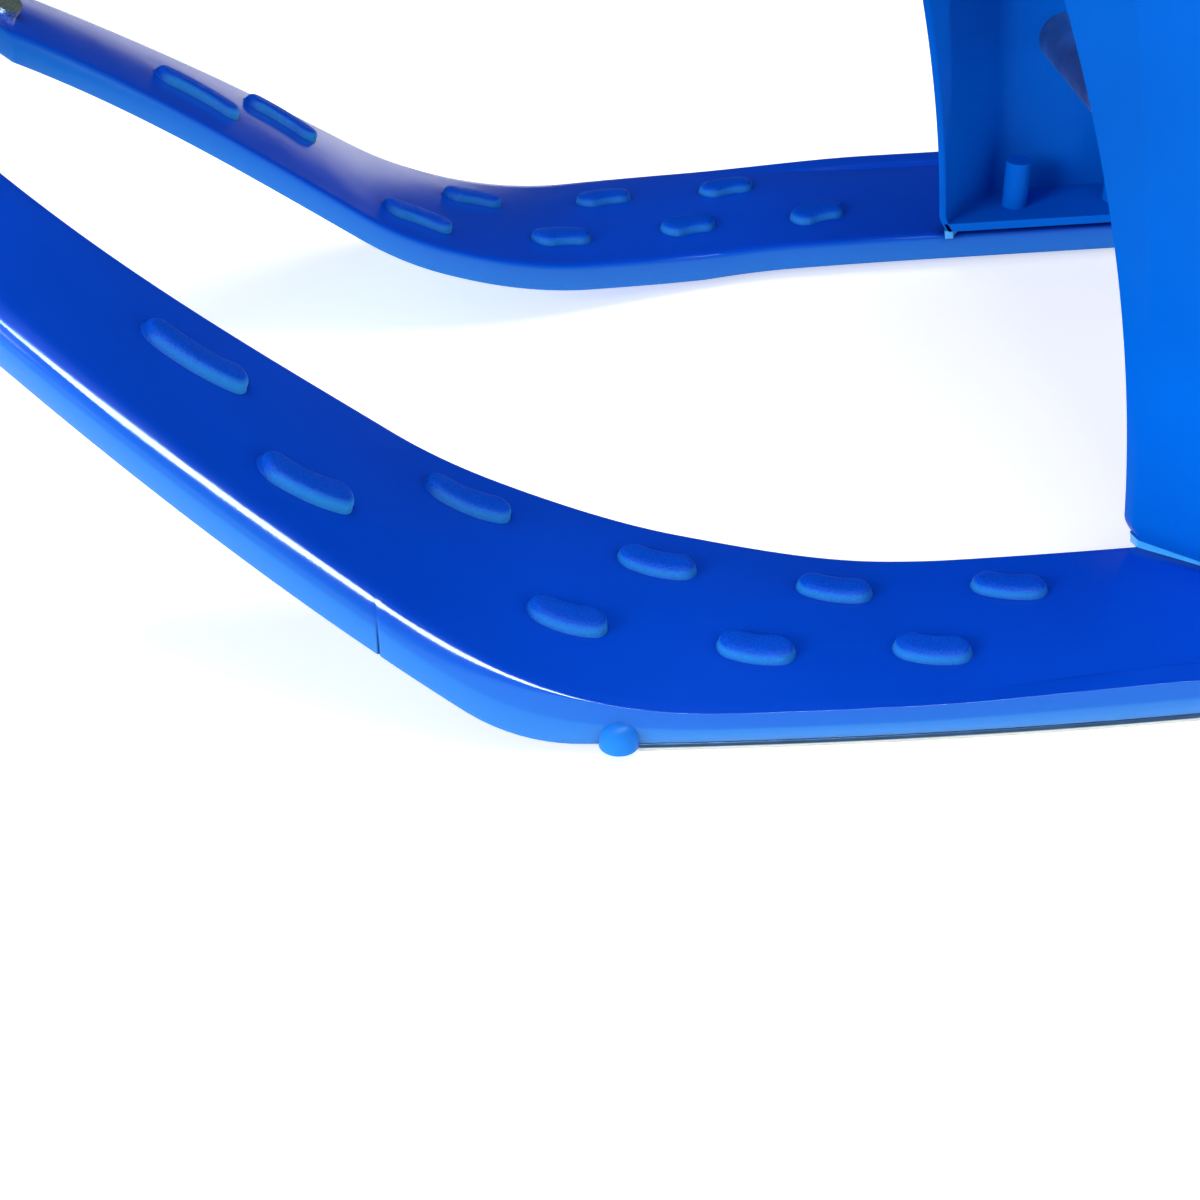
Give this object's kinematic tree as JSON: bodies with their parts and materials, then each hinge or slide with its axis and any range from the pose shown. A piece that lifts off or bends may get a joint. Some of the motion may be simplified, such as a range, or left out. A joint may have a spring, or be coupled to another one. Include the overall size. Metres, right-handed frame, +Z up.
{
  "type": "sled",
  "caption": "Child's moulded-plastic sled: swept-up runners with ribbed foot treads on steel rails, a nose with rope eyelets, legs and a seat.",
  "frame": {"origin": "on the ground, below the middle of the sled's bounding box", "axes": "+X towards the nose, +Y to the rider's left, +Z up"},
  "size_m": [1.1014, 0.4244, 0.272],
  "materials": {
    "runner_plastic": "glossy injection-moulded blue polyethylene with grained grip bumps",
    "leg_plastic": "glossy injection-moulded blue polyethylene",
    "rail_steel": "galvanised strip, lightly brushed",
    "fastener_steel": "zinc plated",
    "insert_plastic": "black nylon"
  },
  "bodies": {
    "root": {"left_runner": "runner_plastic", "right_runner": "runner_plastic", "nose": "runner_plastic", "nose_lap_plates": "runner_plastic", "left_rope_eyelet": "fastener_steel", "right_rope_eyelet": "fastener_steel", "nose_bolt_set": "fastener_steel", "nose_nut_set": "fastener_steel", "left_steel_rail": "rail_steel", "right_steel_rail": "rail_steel", "left_rail_screws": "fastener_steel", "right_rail_screws": "fastener_steel", "front_left_leg": "leg_plastic", "front_right_leg": "leg_plastic", "rear_left_leg": "leg_plastic", "rear_right_leg": "leg_plastic", "leg_foot_screws": "fastener_steel", "leg_foot_washers": "fastener_steel", "seat_deck": "leg_plastic", "seat_screws": "fastener_steel", "front_cross_tube": "rail_steel", "rear_cross_tube": "rail_steel", "tube_inserts": "insert_plastic", "tube_bolts": "fastener_steel"}
  },
  "joints": []
}
